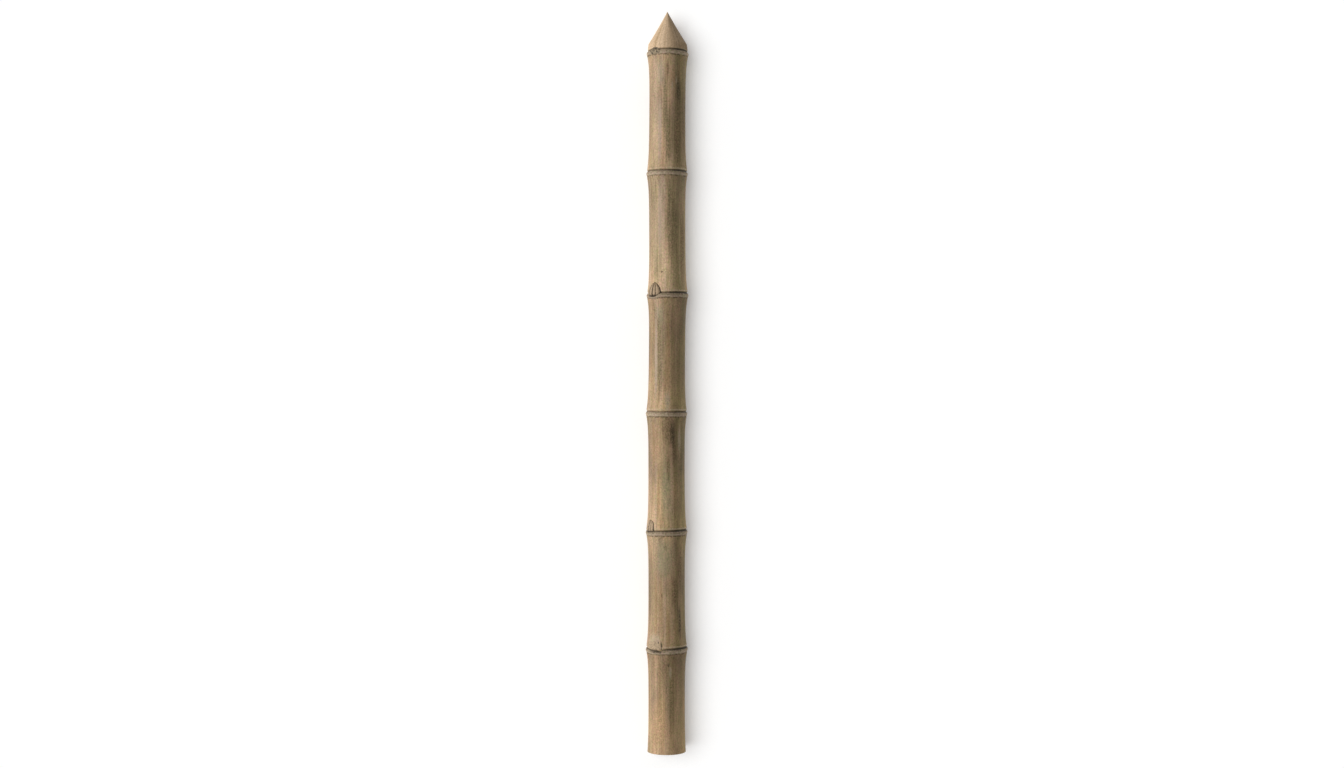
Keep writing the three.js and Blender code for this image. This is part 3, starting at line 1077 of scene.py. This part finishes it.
def pared_cone():
    """Lines that run together at the tip: the pattern reads the direction away from the cane's axis."""
    material, here = new_finish("pared_cone")
    around = here.vector("NORMALIZE", way_out(here, LENGTH - CONE_LENGTH))
    line = here.vector("ADD", around, here.vector("MULTIPLY", here, (0, 1, 0)))
    broad = streaks(line, width=0.3, length=0.5, apart=5)
    threads = streaks(line, width=0.06, length=0.12, apart=9, detail=3)
    grain = streaks(here, width=0.0016, length=0.0026, apart=2, detail=4)
    side = around.node("ShaderNodeSeparateXYZ", None, {0: around}, output="X")
    colour = blend(between(broad, 0.38, 0.62), CONE_PALE, CONE_TAN)
    colour = vary(colour, threads, 0.38, CONE_PALE, CONE_FIBRE)
    # Painted shade: the cone is darker on its right side, away from the light.
    colour = blend(between(side + (broad - 0.5) * 0.5, *CONE_SHADE), colour, CONE_PAINTED_SHADE, mode="MULTIPLY")
    colour = vary(colour, grain, 0.45, DARKER, LIGHTER, mode="MULTIPLY")
    return close_finish(material, colour, 0.62 + broad * 0.2, threads * 0.6 + grain * 0.4, depth=0.0002)


CONE = pared_cone()
print("made", CONE.name)

# %% The sawn end grain
END_PALE = tint(0.5, 0.385, 0.245)
END_RIM = tint(0.3, 0.215, 0.125)
END_BUNDLE = tint(0.14, 0.09, 0.05)
BUNDLE_SPACING = 0.0011
BUNDLE_EDGE = (0.14, 0.34)
SAW_LINES = {"Scale": 260.0, "Distortion": 1.5, "Detail": 2.0}


def sawn_end():
    """End grain: dots of the fibre bundles, crossed by the faint lines that the saw left."""
    material, here = new_finish("sawn_end")
    distance = here.vector("LENGTH", way_out(here, 0), output="Value")
    outward = between(distance, BORE_RADIUS, outer_radius(0))
    flat = here.vector("MULTIPLY", here, ACROSS_ONLY)
    dots = 1 - between(spots(stretched(flat, BUNDLE_SPACING, 1.0), randomness=0.8), *BUNDLE_EDGE)
    saw = streaks(here, width=0.015, length=0.02, apart=4, detail=1)
    marks = here.node(
        "ShaderNodeTexWave",
        {"wave_type": "BANDS", "bands_direction": "Z"},
        {"Vector": here, **SAW_LINES},
        output="Fac",
    )
    colour = blend(outward, END_PALE, END_RIM)
    colour = blend(dots * (0.35 + outward * 0.5), colour, END_BUNDLE)
    colour = blend(marks * saw * 0.35, colour, END_RIM)
    return close_finish(material, colour, 0.8 - dots * 0.1, marks * 0.5 - dots * 0.4, depth=0.0002)


SAWN_END = sawn_end()
print("fibre bundles lie", in_mm(BUNDLE_SPACING), "mm apart")

# %% The hollow's lining
LINING_PALE = tint(0.56, 0.45, 0.3)
LINING_TAN = tint(0.38, 0.28, 0.165)


def papery_lining():
    """The thin, wrinkled skin inside the hollow."""
    material, here = new_finish("papery_lining")
    broad = streaks(here, width=0.012, length=0.07, apart=6)
    wrinkles = streaks(here, width=0.0022, length=0.018, apart=12, detail=4)
    colour = blend(between(broad, 0.40, 0.62), LINING_PALE, LINING_TAN)
    colour = blend(between(wrinkles, 0.55, 0.72) * 0.5, colour, LINING_TAN)
    return close_finish(material, colour, 0.75 + broad * 0.1, wrinkles, depth=0.0004)


LINING = papery_lining()
print("made", LINING.name)

# %% [markdown]
# ## Bud scales and scars
# The scales are tan with fine ribs, with painted shade in the cracks between them, round their rim
# and along their foot, so each point of a scale carries how near it is to the scale's edge. The bed
# under them is almost black: painted shadow round the bud. Where a bud broke off long ago, the scar
# is greyish and pitted.

# %% Finishes of the buds
SCALE_TAN = tint(0.44, 0.318, 0.2)
SCALE_TIP = tint(0.3, 0.208, 0.118)
# Painted shade for the cracks between scales, round a bud's rim and along its foot.
SCALE_CRACK_SHADE = tint(0.045, 0.032, 0.02)
# The bed's near black is painted shadow.
BED_SHADOW_DARK = tint(0.04, 0.03, 0.02)
SCAR_TAN = tint(0.44, 0.322, 0.2)
SCAR_GREY = tint(0.34, 0.262, 0.165)
SCAR_DARK = tint(0.055, 0.042, 0.026)


def bud_finish(name, own_colour, end_colour, pitted, crack_shading):
    """Ribbed scales with painted shade in their cracks and at their foot. The last two arguments, from 0
    to 1, say how much pitting and how much painted shade.
    """
    material, here = new_finish(name)
    crack, up = painted(here, "crack"), painted(here, "up_bud")
    ribs = streaks(here, width=0.0008, length=0.014, apart=8, detail=3)
    pits = streaks(here, width=0.002, length=0.0028, apart=14, detail=4)
    colour = blend(between(up, 0.55, 1.0) * 0.5, own_colour, end_colour)
    colour = blend(between(ribs, 0.48, 0.70) * 0.45, colour, end_colour)
    colour = blend(between(pits, 0.46, 0.60) * pitted, colour, SCAR_DARK)
    # Painted shadow along the bud's foot, then painted shade in its cracks and round its rim.
    colour = blend((1 - between(up + (pits - 0.5) * 0.1, 0.04, 0.18)) * crack_shading, colour, SCALE_CRACK_SHADE)
    colour = blend(between(crack + (pits - 0.5) * 0.8, 0.25, 0.75) * crack_shading, colour, SCALE_CRACK_SHADE)
    height = ribs * 0.6 - pits * pitted
    return close_finish(material, colour, 0.6 + pits * 0.2, height, depth=0.0003)


def painted_bud_shadow():
    """Painted shadow under and round a bud, mottled."""
    material, here = new_finish("bud_bed")
    shadow_mottle = streaks(here, width=0.0015, length=0.002, apart=19, detail=4)
    colour = blend(between(shadow_mottle, 0.45, 0.70), BED_SHADOW_DARK, SCAR_DARK)
    return close_finish(material, colour, 0.8 + shadow_mottle * 0.1, shadow_mottle, depth=0.0003)


BUD_SCALES = bud_finish("bud_scales", SCALE_TAN, SCALE_TIP, pitted=0.2, crack_shading=0.9)
SCAR_FINISHES = {
    0: bud_finish("faint_scar", SCAR_TAN, SCAR_TAN, pitted=0.45, crack_shading=0.85),
    5: bud_finish("pitted_scar", SCAR_GREY, SCAR_DARK, pitted=1.0, crack_shading=0.15),
}
BUD_SHADOW_BED = painted_bud_shadow()
print("the buds have", 2 + len(SCAR_FINISHES), "finishes")

# %% [markdown]
# ## Give each face its finish
# The culm's faces are sorted by where they are and which way they look: all past the last groove is
# pared wood, the saw cut looks straight back, and the hollow lies inside the bore's radius.

# %% Finish the culm's faces
CONE_ABOVE_GROOVE = 0.0018
LINING_MARGIN = 0.0004
CUT_MARGIN = 0.0003
LOOKS_BACK = -0.5

finishes = [SKIN, CONE, SAWN_END, LINING]
for finish in finishes:
    culm.data.materials.append(finish)
middles, normals = read(culm.data.polygons, "center"), read(culm.data.polygons, "normal")
centre = centre_line(0)
from_axis = np.hypot(middles[:, 0] - centre.x, middles[:, 2] - centre.z)
along = middles[:, 1] + LENGTH / 2
near_base = along < BORE_DEPTH + 2 * BORE_DOME
kinds = np.zeros(len(middles), int)
kinds[along > NODES[-1]["at"] + CONE_ABOVE_GROOVE] = finishes.index(CONE)
kinds[near_base & (from_axis < BORE_RADIUS + LINING_MARGIN)] = finishes.index(LINING)
kinds[(along < CUT_MARGIN) & (normals[:, 1] < LOOKS_BACK)] = finishes.index(SAWN_END)
culm.data.polygons.foreach_set("material_index", kinds)
print("faces of skin, cone, sawn end and lining:", np.bincount(kinds).tolist())

# %% [markdown]
# ## Join the buds
# On the cane a bud grows out of the skin, so the buds become one body with the culm. Left apart, they
# would show a gap wherever they don't touch. The union makes new points where a bud meets the skin,
# and they carry no numbers yet, so each takes them from the nearest point that had them before.

# %% Join the buds to the culm
def numbers_of(pieces, names):
    """All points of some pieces in a tree that finds the nearest, and the numbers that they carry."""
    points = np.concatenate([points_of(piece) for piece in pieces])
    tree = KDTree(len(points))
    for index, point in enumerate(points):
        tree.insert(point, index)
    tree.balance()
    return tree, {name: np.concatenate([read_number(piece, name) for piece in pieces]) for name in names}


from_culm = numbers_of([culm], skin_numbers)
from_buds = numbers_of(bud_parts, ("crack", "up_bud"))
bud_group = bpy.data.collections.new("buds")
scene.collection.children.link(bud_group)
for part in bud_parts:
    bud_group.objects.link(part)
    index = int(part.name.split("_")[1])
    finish = BUD_SHADOW_BED if part.name.endswith("_bed") else SCAR_FINISHES.get(index, BUD_SCALES)
    part.data.materials.append(finish)
apply_modifier(
    culm, "BOOLEAN",
    operation="UNION",
    operand_type="COLLECTION",
    collection=bud_group,
    solver="MANIFOLD",
    material_mode="TRANSFER",
)
for part in bud_parts:
    bpy.data.objects.remove(part)
bpy.data.collections.remove(bud_group)

bare = np.flatnonzero(read_number(culm, "tone") == 0)
places = points_of(culm)[bare]
for tree, numbers in (from_culm, from_buds):
    nearest = [tree.find(point)[1] for point in places]
    for name, known in numbers.items():
        values = read_number(culm, name)
        values[bare] = known[nearest]
        write_number(culm, name, values)
culm.data.calc_loop_triangles()
print(len(bare), "new points took the numbers of their nearest")
print("the finished culm has", len(culm.data.loop_triangles), "triangles")

# %% Smooth shading
SMOOTH_ANGLE = 38

select_only(culm)
bpy.ops.object.shade_smooth_by_angle(angle=math.radians(SMOOTH_ANGLE))
print("edges sharper than", SMOOTH_ANGLE, "degrees stay crisp")

# %% Put the culm in the frame
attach(culm, "root")
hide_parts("culm")
print("the culm takes the packed model's place")

# %% [markdown]
# ## Floor and light
# In the photograph the light comes low from the left: the left side is evenly bright, the top falls
# off quickly and the right side is dark. So the key lamp stands 65 degrees off the vertical and lights
# the culm alone. A second, broad lamp stands higher and lights the pale floor, so that the cane lies
# in a short soft shadow. The sky fills the rest, and the floor glows a little to come out white.

# %% Floor
FLOOR_RADIUS = 40
FLOOR_CORNERS = 96
FLOOR_DROP = 0.0002
FLOOR_GLOW = 0.16

bpy.ops.mesh.primitive_circle_add(
    vertices=FLOOR_CORNERS, radius=FLOOR_RADIUS, fill_type="NGON", location=(0, 0, -FLOOR_DROP)
)
floor = bpy.context.object
floor.name = floor.data.name = "floor"
paper = bpy.data.materials.new("floor_paper")
paper.use_nodes = True
FLOOR_LOOK = {
    "Base Color": tint(0.95, 0.95, 0.95),
    "Roughness": 0.9,
    "Specular IOR Level": 0.0,
    "Emission Color": tint(1, 1, 1),
    "Emission Strength": FLOOR_GLOW,
}
for name, value in FLOOR_LOOK.items():
    paper.node_tree.nodes["Principled BSDF"].inputs[name].default_value = value
floor.data.materials.append(paper)
print("the floor is", 2 * FLOOR_RADIUS, "m across")

# %% Light
SKY_STRENGTH = 0.34


def add_lamp(name, from_vertical, strength, softness, lit):
    """A soft lamp on the left, so many degrees off the vertical, that lights one object."""
    lamp = bpy.data.objects.new(name, bpy.data.lights.new(name, "SUN"))
    scene.collection.objects.link(lamp)
    lamp.rotation_euler = (0, -math.radians(from_vertical), 0)
    lamp.data.energy = strength
    lamp.data.angle = softness
    receivers = bpy.data.collections.new(f"lit by the {name}")
    receivers.objects.link(lit)
    lamp.light_linking.receiver_collection = receivers


add_lamp("key lamp", from_vertical=65, strength=2.67, softness=0.45, lit=culm)
add_lamp("floor lamp", from_vertical=25, strength=1.95, softness=0.90, lit=floor)

world = bpy.data.worlds.new("sky")
scene.world = world
world.use_nodes = True
sky = world.node_tree.nodes["Background"].inputs
sky["Color"].default_value = tint(1, 1, 1)
sky["Strength"].default_value = SKY_STRENGTH
scene.view_settings.view_transform = "Standard"
print("the scene has", len(bpy.data.lights), "lamps")
